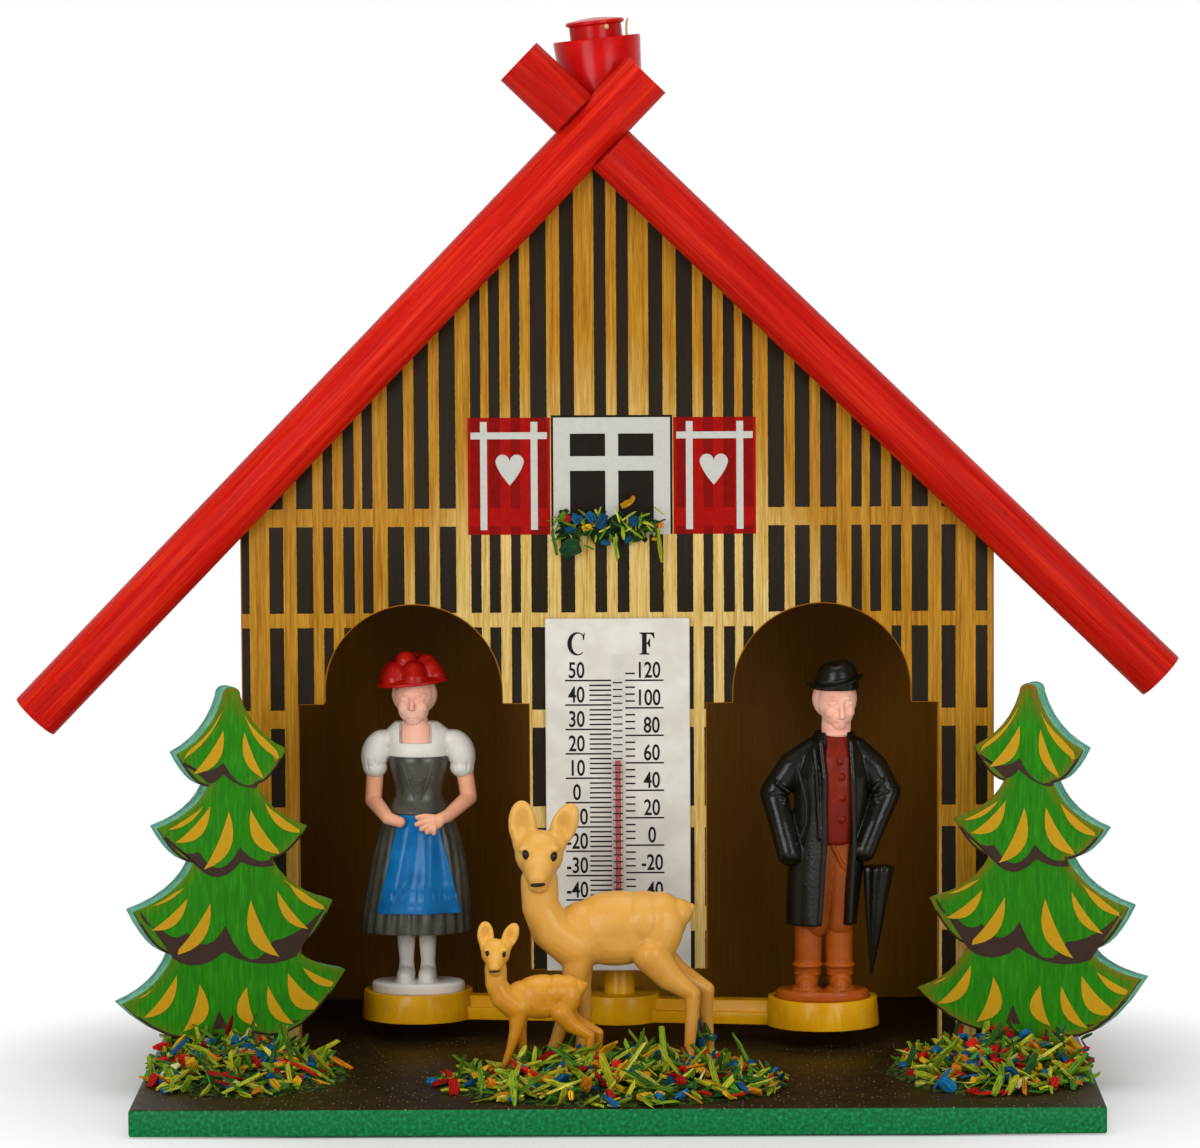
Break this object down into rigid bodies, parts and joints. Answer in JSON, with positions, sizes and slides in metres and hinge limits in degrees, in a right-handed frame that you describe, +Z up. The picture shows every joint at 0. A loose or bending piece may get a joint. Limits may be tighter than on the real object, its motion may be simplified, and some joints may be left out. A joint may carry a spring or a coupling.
{
  "type": "weather house",
  "caption": "Small wooden weather house on a plate: two figures on an arm hung by gut swing in and out of arched doorways, set by a turning chimney, with a card thermometer.",
  "frame": {"origin": "middle of the plate's underside", "axes": "+X to the right seen from the front, +Y to the back, +Z up"},
  "size_m": [0.1439, 0.09, 0.1308],
  "materials": {
    "painted_board": "painted, dark top and green edges",
    "printed_plywood": "plywood with a dark printed pattern",
    "stained_board": "dark brown stain",
    "roof_board": "red stain",
    "red_rod": "red paint over grain",
    "plain_wood": "bare",
    "red_plastic": "moulded, glossy",
    "white_card": "satin, printed",
    "tube_glass": "clear",
    "red_spirit": "dyed liquid",
    "painted_tree": "painted",
    "doe_plastic": "moulded, satin",
    "fawn_plastic": "moulded, satin",
    "dyed_chips": "dyed, matt",
    "gut": "dry, translucent",
    "yellow_plastic": "moulded, satin",
    "white_plastic": "moulded",
    "black_plastic": "moulded, satin",
    "blue_plastic": "moulded",
    "flesh_plastic": "moulded",
    "hat_red_plastic": "moulded",
    "brown_plastic": "moulded",
    "tan_plastic": "moulded",
    "maroon_plastic": "moulded"
  },
  "bodies": {
    "house": {"base_plate": "painted_board", "front_wall": "printed_plywood", "back_wall": "stained_board", "left_side_wall": "stained_board", "right_side_wall": "stained_board", "left_roof_board": "roof_board", "right_roof_board": "roof_board", "left_roof_log": "red_rod", "right_roof_log": "red_rod", "ridge_block": "plain_wood", "thermometer_card": "white_card", "thermometer_tube": "tube_glass", "spirit_column": "red_spirit", "left_tree": "painted_tree", "right_tree": "painted_tree", "doe": "doe_plastic", "fawn": "fawn_plastic", "left_flower_bed": "dyed_chips", "centre_flower_bed": "dyed_chips", "right_flower_bed": "dyed_chips", "window_flowers": "dyed_chips"},
    "chimney": {"chimney_cup": "red_plastic", "chimney_plug": "red_plastic", "chimney_stem": "plain_wood"},
    "swing": {"figure_arm": "yellow_plastic", "gut_string": "gut", "woman_legs": "white_plastic", "woman_dress": "black_plastic", "woman_apron": "blue_plastic", "woman_blouse": "white_plastic", "woman_arms": "flesh_plastic", "woman_head": "flesh_plastic", "woman_hat": "hat_red_plastic", "man_boots": "brown_plastic", "man_trousers": "tan_plastic", "man_vest": "maroon_plastic", "man_coat": "black_plastic", "man_head": "flesh_plastic", "man_hat": "black_plastic", "man_umbrella": "black_plastic"}
  },
  "joints": [
    {"name": "chimney_turn", "type": "hinge", "parent": "house", "child": "chimney", "pos_m": [-0.00126, 0.008, 0.115], "axis": [-0.014, 0, 0.9999], "range_deg": [-10, 10]},
    {"name": "arm_swing", "type": "hinge", "parent": "chimney", "child": "swing", "pos_m": [0, 0.008, 0.0249], "axis": [-0.014, 0, 0.9999], "range_deg": [-28, 44], "stiffness_Nm_per_rad": 0.0002}
  ]
}
